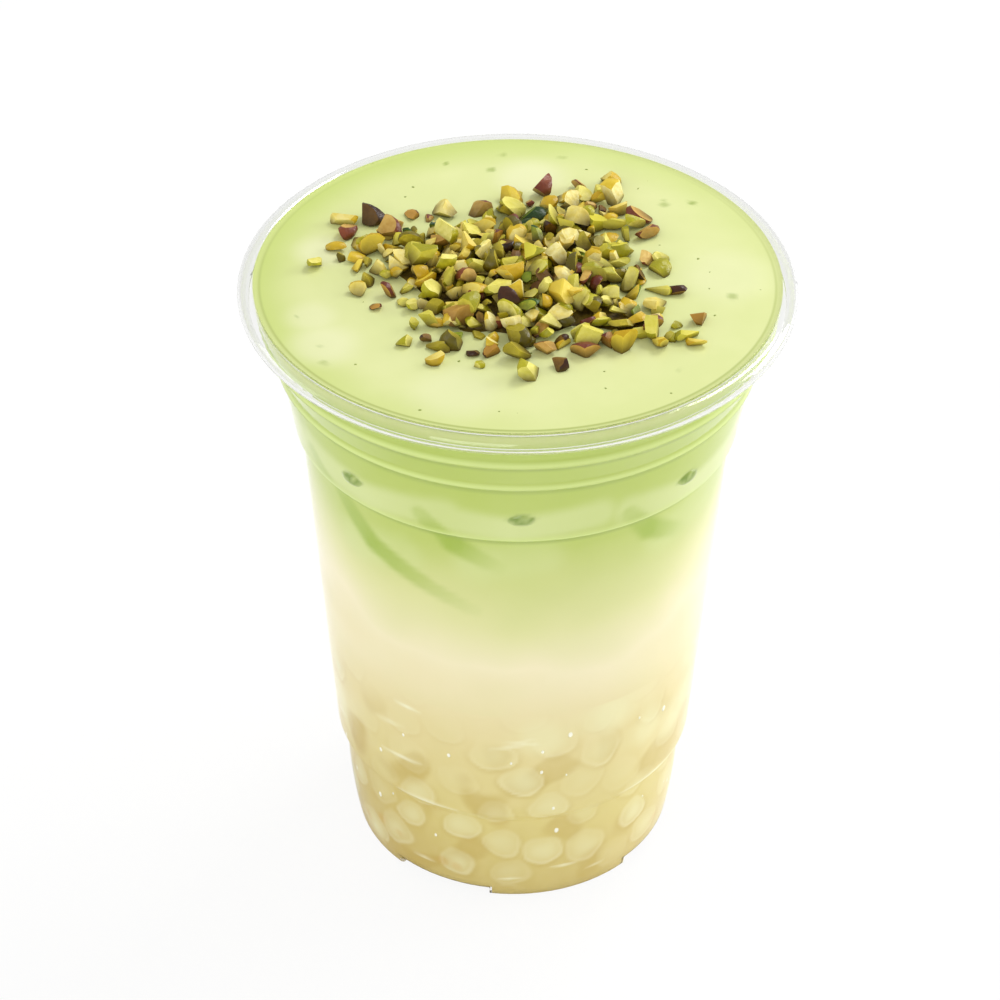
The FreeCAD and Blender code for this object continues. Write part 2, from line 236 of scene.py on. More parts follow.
# what the materials share
def newMaterial(name):
    material = bpy.data.materials.new(name)
    material.use_nodes = True
    return material, material.node_tree, material.node_tree.nodes["Principled BSDF"]


def fillRamp(ramp, stops, span=1.0, start=0.0):
    # stops are (place, colour) pairs; places run from start over span
    while len(ramp.elements) > 1:
        ramp.elements.remove(ramp.elements[-1])
    for number, (place, colour) in enumerate(stops):
        share = (place - start) / span
        element = ramp.elements[0] if number == 0 else ramp.elements.new(share)
        element.position = share
        element.color = colour


def addAttribute(tree, name):
    node = tree.nodes.new("ShaderNodeAttribute")
    node.attribute_name = name
    return node.outputs["Fac"]


def addMix(tree, share, first, second):
    # blends two colours, each a socket or a plain colour
    mix = tree.nodes.new("ShaderNodeMix")
    mix.data_type = "RGBA"
    for socket, value in ((0, share), (6, first), (7, second)):
        if isinstance(value, bpy.types.NodeSocket):
            tree.links.new(value, mix.inputs[socket])
        else:
            mix.inputs[socket].default_value = value
    return mix.outputs[2]


def addRamp(tree, value, stops):
    # colours by a value that runs over the stops' own places
    low, high = stops[0][0], stops[-1][0]
    share = tree.nodes.new("ShaderNodeMapRange")
    share.inputs["From Min"].default_value = low
    share.inputs["From Max"].default_value = high
    tree.links.new(value, share.inputs["Value"])
    ramp = tree.nodes.new("ShaderNodeValToRGB")
    fillRamp(ramp.color_ramp, [(place, srgb(*tone)) for place, tone in stops], high - low, low)
    tree.links.new(share.outputs[0], ramp.inputs[0])
    return ramp.outputs[0]


def addNoise(tree, scale, detail=2.0):
    place = tree.nodes.new("ShaderNodeTexCoord")
    grain = tree.nodes.new("ShaderNodeTexNoise")
    grain.inputs["Scale"].default_value = scale
    grain.inputs["Detail"].default_value = detail
    tree.links.new(place.outputs["Object"], grain.inputs["Vector"])
    return grain.outputs[0]


def addBump(tree, shade, height, strength, distance):
    bump = tree.nodes.new("ShaderNodeBump")
    bump.inputs["Strength"].default_value = strength
    bump.inputs["Distance"].default_value = distance
    tree.links.new(height, bump.inputs["Height"])
    tree.links.new(bump.outputs["Normal"], shade.inputs["Normal"])


# the noise values between which a patch fades in
mottleSet = {"detail": 3.0, "clear": 0.38, "full": 0.66}


def makeMottleGroup():
    # soft light and dark patches laid over a colour, for anything that grew or was stirred
    group = bpy.data.node_groups.new("mottle", "ShaderNodeTree")
    face = group.interface
    face.new_socket("Colour", in_out="INPUT", socket_type="NodeSocketColor")
    face.new_socket("Patch Colour", in_out="INPUT", socket_type="NodeSocketColor")
    face.new_socket("Patch Size", in_out="INPUT", socket_type="NodeSocketFloat")
    face.new_socket("Amount", in_out="INPUT", socket_type="NodeSocketFloat")
    face.new_socket("Colour", in_out="OUTPUT", socket_type="NodeSocketColor")
    start = group.nodes.new("NodeGroupInput")
    end = group.nodes.new("NodeGroupOutput")
    place = group.nodes.new("ShaderNodeTexCoord")
    grain = group.nodes.new("ShaderNodeTexNoise")
    grain.inputs["Detail"].default_value = mottleSet["detail"]
    perMetre = group.nodes.new("ShaderNodeMath")
    perMetre.operation = "DIVIDE"
    perMetre.inputs[0].default_value = 1.0
    group.links.new(start.outputs["Patch Size"], perMetre.inputs[1])
    group.links.new(perMetre.outputs[0], grain.inputs["Scale"])
    group.links.new(place.outputs["Object"], grain.inputs["Vector"])
    spread = group.nodes.new("ShaderNodeMapRange")
    spread.inputs["From Min"].default_value = mottleSet["clear"]
    spread.inputs["From Max"].default_value = mottleSet["full"]
    group.links.new(grain.outputs[0], spread.inputs["Value"])
    share = group.nodes.new("ShaderNodeMath")
    share.operation = "MULTIPLY"
    group.links.new(spread.outputs[0], share.inputs[0])
    group.links.new(start.outputs["Amount"], share.inputs[1])
    mix = group.nodes.new("ShaderNodeMix")
    mix.data_type = "RGBA"
    group.links.new(share.outputs[0], mix.inputs[0])
    group.links.new(start.outputs["Colour"], mix.inputs[6])
    group.links.new(start.outputs["Patch Colour"], mix.inputs[7])
    group.links.new(mix.outputs[2], end.inputs["Colour"])
    return group


mottle = makeMottleGroup()


def addMottle(tree, colour, patch, size, amount):
    node = tree.nodes.new("ShaderNodeGroup")
    node.node_tree = mottle
    if isinstance(colour, bpy.types.NodeSocket):
        tree.links.new(colour, node.inputs["Colour"])
    else:
        node.inputs["Colour"].default_value = colour
    node.inputs["Patch Colour"].default_value = patch
    node.inputs["Patch Size"].default_value = size
    node.inputs["Amount"].default_value = amount
    return node.outputs["Colour"]


# what the pieces share
def finishPiece(name, bm, materials, sharpAngle=35):
    mesh = bpy.data.meshes.new(name)
    bm.to_mesh(mesh)
    bm.free()
    for material in materials:
        mesh.materials.append(material)
    piece = bpy.data.objects.new(name, mesh)
    scene.collection.objects.link(piece)
    mesh.shade_smooth()
    if sharpAngle:
        mesh.set_sharp_from_angle(angle=math.radians(sharpAngle))
    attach(piece, "root")
    return piece


def spunPiece(name, outline, steps, materials, sharpAngle=35):
    # spins a chain of (radius, height) points about the axis into a closed skin
    bm = bmesh.new()
    chain = [bm.verts.new((radius, 0, height)) for radius, height in outline]
    edges = [bm.edges.new(pair) for pair in zip(chain, chain[1:])]
    bmesh.ops.spin(bm, geom=chain + edges, cent=(0, 0, 0), axis=(0, 0, 1), angle=math.tau,
                   steps=steps, use_merge=True, use_duplicate=False)
    bmesh.ops.remove_doubles(bm, verts=bm.verts, dist=1e-6)
    bmesh.ops.recalc_face_normals(bm, faces=bm.faces)
    return finishPiece(name, bm, materials, sharpAngle)


def wallChain(low, high, inset, rise):
    # the wall's own creases with points close above and below each, and more on long runs
    close = drinkSet["creaseWidth"]
    heights = {low, high}
    for height, _ in wall:
        heights.update(place for place in (height - close, height, height + close) if low < place < high)
    heights = sorted(heights)
    chain = [(wallRadius(low) + inset, low)]
    for start, end in zip(heights, heights[1:]):
        pieces = max(1, math.ceil((end - start) / rise))
        for number in range(1, pieces + 1):
            height = start + (end - start) * number / pieces
            chain.append((wallRadius(height) + inset, height))
    return chain


def paint(mesh, name, value):
    # stores value(azimuth, height in mm) on each point of a skin
    layer = mesh.attributes.new(name, "FLOAT", "POINT")
    for vertex, item in zip(mesh.vertices, layer.data):
        item.value = value(azimuthOf(vertex.co), vertex.co.z / mm)


def strokeTone(strokes, azimuth, height, soft):
    # how strong the nearest stroke is at a point on the wall
    # a stroke runs through points of azimuth, height, half width and tone
    tone = 0.0
    for stroke in strokes:
        for (turn, low, wide, weak), (nextTurn, high, nextWide, nextWeak) in zip(stroke, stroke[1:]):
            reach = max(wide, nextWide) * 2
            if not min(low, high) - reach < height < max(low, high) + reach:
                continue
            alongX, alongZ = apartOnWall(nextTurn, high, turn, low)
            offsetX, offsetZ = apartOnWall(azimuth, height, turn, low)
            share = (alongX * offsetX + alongZ * offsetZ) / (alongX ** 2 + alongZ ** 2)
            share = min(max(share, 0.0), 1.0)
            apart = math.hypot(offsetX - alongX * share, offsetZ - alongZ * share)
            width, strength = wide + (nextWide - wide) * share, weak + (nextWeak - weak) * share
            tone = max(tone, strength * (1 - smoothStep(width * (1 - soft), width * (1 + soft), apart)))
    return tone


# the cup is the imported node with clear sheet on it
cupSet = {
    "ior": 1.46, "roughness": 0.03, "sheet": (0.985, 0.99, 0.98, 1.0), "rolled": (0.93, 0.935, 0.915, 1.0),
    "rollDepth": 4.4 * mm, "rollFull": 0.8,    # the rolled rim's tint: where it starts, and where it is full
}


def makeClearSheet():
    material, tree, shade = newMaterial("clearSheet")
    place = tree.nodes.new("ShaderNodeTexCoord")
    split = tree.nodes.new("ShaderNodeSeparateXYZ")
    tree.links.new(place.outputs["Object"], split.inputs[0])
    rolled = tree.nodes.new("ShaderNodeMapRange")
    rolled.inputs["From Min"].default_value = cupHigh.z - cupSet["rollDepth"]
    rolled.inputs["From Max"].default_value = cupHigh.z - cupSet["rollDepth"] * cupSet["rollFull"]
    tree.links.new(split.outputs["Z"], rolled.inputs["Value"])
    # painted shade: the rolled rim tinted greyer than the sheet, for the darker surroundings it mirrors
    tint = addMix(tree, rolled.outputs[0], cupSet["sheet"], cupSet["rolled"])
    tree.links.new(tint, shade.inputs["Base Color"])
    shade.inputs["Roughness"].default_value = cupSet["roughness"]
    shade.inputs["IOR"].default_value = cupSet["ior"]
    shade.inputs["Transmission Weight"].default_value = 1.0
    path = tree.nodes.new("ShaderNodeLightPath")
    lamps = tree.nodes.new("ShaderNodeMath")
    lamps.operation = "MAXIMUM"
    tree.links.new(path.outputs["Is Shadow Ray"], lamps.inputs[0])
    tree.links.new(path.outputs["Is Diffuse Ray"], lamps.inputs[1])
    through = tree.nodes.new("ShaderNodeBsdfTransparent")
    mix = tree.nodes.new("ShaderNodeMixShader")
    tree.links.new(lamps.outputs[0], mix.inputs[0])
    tree.links.new(shade.outputs[0], mix.inputs[1])
    tree.links.new(through.outputs[0], mix.inputs[2])
    tree.links.new(mix.outputs[0], tree.nodes["Material Output"].inputs["Surface"])
    return material


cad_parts["cup"].data.materials[0] = makeClearSheet()
print("cup finished")


# the drink above the bed, spun to reach just into the wall
drinkSet = {
    "intoWall": 0.2 * mm, "turnSteps": 300, "rise": 1.0 * mm, "creaseWidth": 0.35 * mm,
    # colours up the wall: height in mm, then what shows there
    "colours": (
        (44, (230, 215, 155)), (60, (245, 235, 195)), (72, (225, 225, 160)), (90, (190, 205, 105)),
        (116, (180, 200, 90)), (119, (210, 220, 140)),
    ),
    "gapColour": (160, 185, 60), "iceColour": (215, 225, 155), "creaseShadeColour": (150, 170, 80),
    "crestHighlightColour": (215, 230, 145), "lugShadeColour": (110, 140, 40), "cloudColour": (216, 224, 158),
}
# ice behind the milk: cube after cube round the wall, each a pale patch
# with a darker gap running down from it; angles in degrees, the rest in mm
iceSet = {
    "seed": 6, "cubes": 8, "turn": -42, "swing": 5, "level": 97, "levelSwing": 1.2, "reach": 22,
    "patchWide": 3.2, "lowLevel": 84, "lowWide": 4, "lowTone": 0.45, "gapWide": 2.2, "gapTone": 0.95,
    "gapLong": 50, "gapFall": 18,
}


def placeIce():
    chance = random.Random(iceSet["seed"])
    patches, gaps = [], []
    for number in range(iceSet["cubes"]):
        middle = iceSet["turn"] + number * 360 / iceSet["cubes"] + chance.uniform(-1, 1) * iceSet["swing"]
        level = iceSet["level"] + chance.uniform(-1, 1) * iceSet["levelSwing"]
        tone, wide, left = chance.uniform(0.75, 1.0), iceSet["patchWide"], middle - iceSet["reach"]
        patches.append(((left, level + 1, wide, tone * 0.6), (middle, level - 1, wide * 0.9, tone),
                        (middle + iceSet["reach"], level + 1, wide, tone * 0.7)))
        low = iceSet["lowLevel"] + chance.uniform(-3, 5)
        patches.append(((middle - 8, low, iceSet["lowWide"], iceSet["lowTone"]),
                        (middle + 8, low + 2, iceSet["lowWide"], iceSet["lowTone"] * 0.8)))
        share = 1.0 if number == 0 else chance.uniform(0.15, 0.8)
        right, foot = left + iceSet["gapLong"] * share, level - 4 - iceSet["gapFall"] * share
        bend, wide = (left * 0.6 + right * 0.4, level * 0.4 + foot * 0.6), iceSet["gapWide"]
        gaps.append(((left, level, wide * 0.7, 0.4), (*bend, wide, iceSet["gapTone"]),
                     (right, foot, wide * 0.6, 0.1)))
    return patches, gaps


iceStrokes, gapStrokes = placeIce()
# how far the layers' border rises above its mean round the cup: direction, mm
borderRise = (
    (-180, 2), (-130, 5), (-90, 9), (-65, 8), (-40, 3.5), (-15, 0),
    (15, -1), (40, 3), (65, 6), (110, 3), (180, 2),
)


def riseAt(azimuth):
    for (turn, rise), (nextTurn, nextRise) in zip(borderRise, borderRise[1:]):
        if azimuth <= nextTurn:
            return rise + (nextRise - rise) * smoothStep(turn, nextTurn, azimuth)
    return borderRise[-1][1]


def layerHeight(azimuth, height):
    # the height whose colour shows here, once the border's swing and its clouds are taken off
    place = onWall(azimuth, height * mm)
    cloud = noise.noise(place / (17 * mm)) * 5 + noise.noise(place / (7 * mm)) * 1.5
    share = (1 - smoothStep(88, 94, height)) * smoothStep(49, 60, height)
    rise = riseAt(azimuth) * (1 - smoothStep(76, 92, height)) * smoothStep(52, 62, height)
    return height - (rise - cloud) * share


# the stacking ribs' and the ledge's lower corners, where the sheet turns back in
ribSet = {"above": 85 * mm, "slope": 0.7}
roots = [height / mm for (height, reach), (nextHeight, nextReach) in zip(wall, wall[1:])
         if height > ribSet["above"] and nextReach - reach > (nextHeight - height) * ribSet["slope"]]
# painted shade: a dark line in each corner; painted highlight: a pale line on the crest over it; in mm
creaseShadeLine = {"tone": 0.75, "up": -0.1, "full": 0.1, "clear": 0.5}
crestHighlightLine = {"tone": 0.9, "up": 0.9, "full": 0.15, "clear": 1.0}


def cornerTone(line, height):
    # strongest at the nearest corner
    far = min((abs(height - root - line["up"]) for root in roots), default=line["clear"])
    return line["tone"] * (1 - smoothStep(line["full"], line["clear"], far))


# painted shade where the cup's lugs bend the light, each with a painted highlight in its middle
lugSet = {"count": 8, "turn": 1.2, "height": 98.9, "long": 2.5, "tall": 1.15, "pale": 0.75, "highlightReach": 0.45}


def lugShadeTone(azimuth, height):
    tone = 0.0
    for number in range(lugSet["count"]):
        turn = lugSet["turn"] + number * 360 / lugSet["count"]
        across, up = apartOnWall(azimuth, height, turn, lugSet["height"])
        far = math.hypot(across / lugSet["long"], up / lugSet["tall"])
        near = math.hypot((across - 0.5) / lugSet["long"], (up - 0.2) / lugSet["tall"])
        # painted highlight in the middle of each lug's painted shade
        pale = lugSet["pale"] * (1 - smoothStep(0.0, lugSet["highlightReach"], near))
        tone = max(tone, 1 - smoothStep(0.55, 1.15, far) - pale)
    return tone


def paintDrink(mesh):
    paint(mesh, "layerHeight", layerHeight)
    paint(mesh, "iceTone", lambda azimuth, height: strokeTone(iceStrokes, azimuth, height, 0.55))
    paint(mesh, "gapTone", lambda azimuth, height: strokeTone(gapStrokes, azimuth, height, 0.4))
    paint(mesh, "crestHighlightTone", lambda azimuth, height: cornerTone(crestHighlightLine, height))
    paint(mesh, "creaseShadeTone", lambda azimuth, height: cornerTone(creaseShadeLine, height))
    paint(mesh, "lugShadeTone", lugShadeTone)


def makeDrinkMaterial():
    material, tree, shade = newMaterial("icedMilk")
    colour = addRamp(tree, addAttribute(tree, "layerHeight"), drinkSet["colours"])
    # painted highlight on the crests, painted shade in the creases and at the lugs
    for name, tone in (("iceTone", "iceColour"), ("gapTone", "gapColour"), ("crestHighlightTone", "crestHighlightColour"),
                       ("creaseShadeTone", "creaseShadeColour"), ("lugShadeTone", "lugShadeColour")):
        colour = addMix(tree, addAttribute(tree, name), colour, srgb(*drinkSet[tone]))
    colour = addMottle(tree, colour, srgb(*drinkSet["cloudColour"]), 12 * mm, 0.08)
    tree.links.new(colour, shade.inputs["Base Color"])
    shade.inputs["Roughness"].default_value = 0.5
    shade.inputs["Specular IOR Level"].default_value = 0.1
    return material


# glow below is the colour of the painted soft highlights on the cream
creamSet = {
    "colour": (221, 228, 158), "patch": (229, 234, 170), "edge": (192, 211, 104), "line": (178, 190, 108),
    "rings": 90, "wave": 0.16 * mm, "waveSize": 17 * mm, "edgeWidth": 10.0 * mm,
    "greenest": -125, "lineFrom": 0.95 * mm, "lineWide": 0.2 * mm, "band": (206, 216, 142),
    "climb": 0.24 * mm, "glow": (240, 241, 198), "sunk": (134, 160, 50), "flat": 0.01 * mm,
}
# soft places on the cream: painted highlights where it looks paler, and green bits just under it
sheenSpotSet = {"seed": 9, "count": 6, "reach": (32, 41), "radius": (6, 12), "power": (0.3, 0.6)}
sunkSet = {"seed": 14, "count": 12, "reach": (34, 43), "radius": (0.4, 1.4), "power": (0.3, 0.75)}


def scatterSpots(spots):
    # x, y, radius in mm, strength
    chance = random.Random(spots["seed"])
    made = []
    for _ in range(spots["count"]):
        angle, reach = chance.uniform(0, math.tau), chance.uniform(*spots["reach"])
        made.append((reach * math.cos(angle), reach * math.sin(angle), chance.uniform(*spots["radius"]),
                     chance.uniform(*spots["power"])))
    return made


sheenSpots, sunkSpots = scatterSpots(sheenSpotSet), scatterSpots(sunkSet)


def spotTone(spots, place):
    return max(power * (1 - smoothStep(radius * 0.3, radius, math.hypot(place.x / mm - x, place.y / mm - y)))
               for x, y, radius, power in spots)


def rimTone(place, rim):
    # greener towards the wall, most on the left and at the back
    reach = math.hypot(place.x, place.y)
    aside = math.cos(math.radians(azimuthOf(place) - creamSet["greenest"]))
    return smoothStep(rim - creamSet["edgeWidth"], rim, reach) * (0.42 + 0.34 * aside)


def lineTone(place, rim):
    # the fine shadow line where the cream climbs the wall
    apart = abs(rim - creamSet["lineFrom"] - math.hypot(place.x, place.y))
    tone = 1 - smoothStep(creamSet["lineWide"] * 0.4, creamSet["lineWide"] * 1.6, apart)
    return tone * (0.5 + 0.5 * math.cos(math.radians(azimuthOf(place))))


def bandTone(place, rim):
    # the thin strip outside that line
    start = rim - creamSet["lineFrom"]
    tone = smoothStep(start, start + creamSet["lineWide"], math.hypot(place.x, place.y))
    return tone * (0.55 + 0.45 * math.cos(math.radians(azimuthOf(place))))


def makeCreamMaterial():
    material, tree, shade = newMaterial("greenCream")
    colour = addMottle(tree, srgb(*creamSet["colour"]), srgb(*creamSet["patch"]), 16 * mm, 0.7)
    for name, tone in (("rimTone", "edge"), ("sheenHighlightTone", "glow"), ("sunkTone", "sunk"), ("bandTone", "band"),
                       ("lineTone", "line")):
        colour = addMix(tree, addAttribute(tree, name), colour, srgb(*creamSet[tone]))
    tree.links.new(colour, shade.inputs["Base Color"])
    shade.inputs["Roughness"].default_value = 0.3
    shade.inputs["Specular IOR Level"].default_value = 0.4
    addBump(tree, shade, addNoise(tree, 420.0), 0.1, 0.2 * mm)
    return material


def makeCream(drinkMaterial):
    inset = drinkSet["intoWall"]
    rim = wallRadius(creamLevel) + inset
    fine = creamSet["lineWide"]
    reaches = [rim * number / creamSet["rings"] for number in range(1, creamSet["rings"])]
    reaches += [rim - creamSet["lineFrom"] + fine * step for step in (-2, -1, -0.4, 0, 0.4, 1, 2)]
    chain = [(0, creamLow.z)] + wallChain(creamLow.z, creamLevel, inset, drinkSet["rise"])
    chain += [(rim + creamSet["climb"], creamLevel + creamSet["climb"])]
    chain += [(reach, creamLevel) for reach in sorted(reaches, reverse=True)] + [(0, creamLevel)]
    cream = spunPiece("greenCreamLayer", chain, drinkSet["turnSteps"], [drinkMaterial, makeCreamMaterial()])
    for name, tone in (("rimTone", rimTone), ("lineTone", lineTone), ("bandTone", bandTone),
                       ("sheenHighlightTone", lambda place, rim: spotTone(sheenSpots, place)),
                       ("sunkTone", lambda place, rim: spotTone(sunkSpots, place))):
        layer = cream.data.attributes.new(name, "FLOAT", "POINT")
        for vertex, item in zip(cream.data.vertices, layer.data):
            if vertex.co.z > creamLevel - creamSet["flat"]:
                item.value = tone(vertex.co, rim)
    for vertex in cream.data.vertices:
        if vertex.co.z > creamLevel - creamSet["flat"]:
            reach = math.hypot(vertex.co.x, vertex.co.y)
            wave = noise.noise(vertex.co / creamSet["waveSize"]) * creamSet["wave"]
            vertex.co.z += wave * (1 - smoothStep(rim - 5 * mm, rim - 1.5 * mm, reach))
    for face in cream.data.polygons:
        if face.normal.z > 0.7 and face.center.z > creamLevel - 1.5 * mm:
            face.material_index = 1
    paintDrink(cream.data)
    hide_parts("pistachio_cream")


def makeMilk(drinkMaterial):
    inset = drinkSet["intoWall"]
    chain = [(0, bedSet["top"])] + wallChain(bedSet["top"], milkHigh.z, inset, drinkSet["rise"])
    milk = spunPiece("milkLayer", chain + [(0, milkHigh.z)], drinkSet["turnSteps"], [drinkMaterial])
    paintDrink(milk.data)
    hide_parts("milk_tea")


# the bed is cloudy tea at the wall, with pearls pressed against it
bedSet = {
    "top": 50 * mm, "foot": 4.0 * mm, "rise": 0.6 * mm, "turnSteps": 400,
    "pearl": 8.4 * mm, "gap": 7.7 * mm, "seed": 11, "proud": 0.22 * mm, "fog": 1.6, "patchSize": 8 * mm,
    "tries": 2600, "heights": (5.6, 53),
    "colours": (
        (0, (210, 190, 115)), (20, (220, 205, 130)), (44, (230, 215, 155)), (60, (245, 235, 195)),
    ),
    "pearlColour": (235, 230, 180), "paleColour": (240, 235, 185), "highlightColour": (250, 247, 215),
    "deepAndShadeColour": (200, 175, 90), "amberColour": (210, 165, 60), "cloudColour": (236, 224, 176),
    "pearlPatch": (226, 218, 162),
}
# cloudier drifts, thin painted highlight lines and amber pools in the tea at the wall, heights and widths in
# mm
driftSet = {
    "pale": (
        {"seed": 3, "count": 13, "heights": (34, 48), "long": 12, "rise": 2, "wide": 4.5, "tone": 0.7},
    ),
    "highlight": (
        {"seed": 8, "count": 20, "heights": (30, 49), "long": 8, "rise": 1, "wide": 0.6, "tone": 0.8},
        {"seed": 15, "count": 7, "heights": (24, 24), "long": 16, "rise": 0, "wide": 0.5, "tone": 0.9},
        {"seed": 21, "count": 14, "heights": (5, 9), "long": 6, "rise": 0.2, "wide": 0.4, "tone": 0.8},
    ),
    "amber": (
        {"seed": 2, "count": 8, "heights": (6, 10), "long": 3, "rise": 1.2, "wide": 1.2, "tone": 0.5},
    ),
}


def scatterStrokes(name):
    strokes = []
    for drift in driftSet[name]:
        chance = random.Random(drift["seed"])
        for _ in range(drift["count"]):
            azimuth, height = chance.uniform(-180, 180), chance.uniform(*drift["heights"])
            rise, long = chance.uniform(-1, 1) * drift["rise"], chance.uniform(0.5, 1) * drift["long"]
            wide, tone = chance.uniform(0.7, 1) * drift["wide"], chance.uniform(0.5, 1) * drift["tone"]
            before = (azimuth - long, height - rise, wide * 0.7, tone * 0.3)
            after = (azimuth + long, height + rise, wide * 0.7, tone * 0.3)
            strokes.append((before, (azimuth, height, wide, tone), after))
    return strokes


paleStrokes, highlightStrokes, amberStrokes = [scatterStrokes(name) for name in ("pale", "highlight", "amber")]


def choosePearls():
    # one after another wherever there is room
    chance = random.Random(bedSet["seed"])
    pearls = []
    for _ in range(bedSet["tries"]):
        azimuth, height = chance.uniform(-180, 180), chance.uniform(*bedSet["heights"])
        depth, grow = chance.uniform(0.0, 2.6), chance.uniform(0.8, 1.06)
        apart = [math.hypot(*apartOnWall(azimuth, height, *other[:2])) for other in pearls]
        if min(apart, default=math.inf) > bedSet["gap"] / mm:
            pearls.append((azimuth, height, depth, grow))
    return pearls


pearls = choosePearls()


def pearlTones(azimuth, height, near):
    # how much of a pearl shows through the tea here, with a painted highlight along its rim and painted shade
    # under it
    radius = bedSet["pearl"] / mm / 2
    body = ring = shade = 0.0
    uneven = noise.noise(onWall(azimuth, height * mm) / (4.5 * mm)) * 1.3
    for pearlAzimuth, pearlHeight, depth, grow in near:
        across, up = apartOnWall(azimuth, height, pearlAzimuth, pearlHeight)
        across, up = across + uneven, up - uneven * 0.7
        size = radius * grow
        far = math.hypot(across, up) / size
        if far > 1.4:
            continue
        clear = math.exp(-depth / bedSet["fog"])
        below = 0.5 - 0.5 * (up * 0.9 - across * 0.2) / (size * max(far, 0.01))
        if far < 1:
            behind = depth + size * (1 - math.sqrt(1 - far * far))
            body = max(body, math.exp(-behind / bedSet["fog"]))
        ring = max(ring, clear * (0.15 + 0.6 * below) * (1 - smoothStep(0.03, 0.14, abs(far - 0.86))))
        around = smoothStep(0.9, 1.0, far) * (1 - smoothStep(1.0, 1.35, far))
        shade = max(shade, clear * below * 0.8 * around)
    fade = 1 - 0.85 * smoothStep(32, 50, height)
    return body * fade * 0.9, ring * fade * 0.42, shade * (1 - body) * fade * 0.8


def paintPearls(mesh):
    layers = [mesh.attributes.new(name, "FLOAT", "POINT") for name in ("pearlTone", "pearlRimHighlightTone", "shadeTone")]
    reach = bedSet["pearl"] / mm * 0.8
    byHeight = {}
    for number, vertex in enumerate(mesh.vertices):
        height = vertex.co.z / mm
        row = round(height, 2)
        if row not in byHeight:
            byHeight[row] = [pearl for pearl in pearls if abs(pearl[1] - height) < reach]
        tones = pearlTones(azimuthOf(vertex.co), height, byHeight[row])
        for layer, tone in zip(layers, tones):
            layer.data[number].value = tone


def bedHeight(azimuth, height):
    # the height whose colour shows here, once the tea's clouds are added
    place = onWall(azimuth, height * mm)
    cloud = noise.noise(place / (9 * mm)) * 5 + noise.noise(place / (4 * mm)) * 2.5
    return height + cloud * (1 - smoothStep(40, 49, height))


def deepTone(azimuth, height):
    # warm patches between the pearls, more of them low down and on the left
    cloud = noise.noise(onWall(azimuth, height * mm) / bedSet["patchSize"])
    left = 0.5 - 0.5 * math.sin(math.radians(azimuth))
    corner = smoothStep(0.6, 0.9, left) * (1 - smoothStep(20, 32, height)) * 0.55
    patch = smoothStep(0.02, 0.3, cloud) * (0.45 + 0.4 * left) * (1 - smoothStep(30, 50, height))
    return min(1.0, patch + corner)


def makeCloudyTea():
    material, tree, shade = newMaterial("cloudyTea")
    colour = addRamp(tree, addAttribute(tree, "bedHeight"), bedSet["colours"])
    # the pearls' shade tone is painted shade; their rim tone and the thin bright strokes are painted
    # highlights
    for name, tone in (("deepTone", "deepAndShadeColour"), ("shadeTone", "deepAndShadeColour"), ("paleTone", "paleColour"),
                       ("pearlTone", "pearlColour"), ("amberTone", "amberColour"),
                       ("pearlRimHighlightTone", "highlightColour"), ("highlightTone", "highlightColour")):
        colour = addMix(tree, addAttribute(tree, name), colour, srgb(*bedSet[tone]))
    colour = addMottle(tree, colour, srgb(*bedSet["cloudColour"]), 2.5 * mm, 0.06)
    tree.links.new(colour, shade.inputs["Base Color"])
    shade.inputs["Roughness"].default_value = 0.5
    shade.inputs["Specular IOR Level"].default_value = 0.1
    return material


def makeBed():
    material = makeCloudyTea()
    inset = drinkSet["intoWall"]
    low = bedSet["foot"] - 0.3 * mm
    chain = [(0, low)] + wallChain(low, bedSet["top"], inset, bedSet["rise"])
    tea = spunPiece("cloudyTea", chain, bedSet["turnSteps"], [material])
    foot = bmesh.new()
    foot.from_mesh(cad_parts["pearl_bed"].data)
    bmesh.ops.remove_doubles(foot, verts=foot.verts, dist=1e-6)
    bmesh.ops.bisect_plane(foot, geom=foot.verts[:] + foot.edges[:] + foot.faces[:],
                           plane_co=(0, 0, bedSet["foot"]), plane_no=(0, 0, 1), clear_outer=True)
    bmesh.ops.recalc_face_normals(foot, faces=foot.faces)
    foot.normal_update()
    for vertex in foot.verts:
        vertex.co += vertex.normal * (inset - 0.05 * mm)
    bottom = finishPiece("teaInFeet", foot, [material])
    for piece in (tea, bottom):
        paint(piece.data, "bedHeight", bedHeight)
        paint(piece.data, "deepTone", deepTone)
        for name, strokes, soft in (("paleTone", paleStrokes, 0.6), ("highlightTone", highlightStrokes, 0.6),
                                    ("amberTone", amberStrokes, 0.5)):
            paint(piece.data, name, lambda azimuth, height: strokeTone(strokes, azimuth, height, soft))
        paintPearls(piece.data)
        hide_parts("pearl_bed")


def makePearls():
    material, tree, shade = newMaterial("clearPearl")
    colour = addMottle(tree, srgb(*bedSet["pearlColour"]), srgb(*bedSet["pearlPatch"]), 4 * mm, 0.5)
    tree.links.new(colour, shade.inputs["Base Color"])
    shade.inputs["Roughness"].default_value = 0.15
    shade.inputs["IOR"].default_value = 1.5
    bm = bmesh.new()
    inBed = [pearl for pearl in pearls if pearl[1] * mm <= bedSet["top"]]
    for azimuth, height, depth, grow in inBed:
        size = bedSet["pearl"] * grow
        reach = size / 2 - drinkSet["intoWall"] - bedSet["proud"] + depth * mm
        shape = Matrix.Translation(onWall(azimuth, height * mm, reach))
        bmesh.ops.create_icosphere(bm, subdivisions=3, radius=size / 2, matrix=shape)
    piece = finishPiece("tapiocaPearls", bm, [material], sharpAngle=0)
    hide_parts("pearl_bed")
    print("pearls made:", len(inBed))


# painted highlights: small near-white beads at the wall that stand for the shine on the pearls
glintSet = {
    "seed": 31, "count": 54, "heights": (9, 46), "sizes": (0.3, 1.0),
    "tall": 1.5 * mm, "wide": 1.0 * mm, "deep": 0.22 * mm,
}


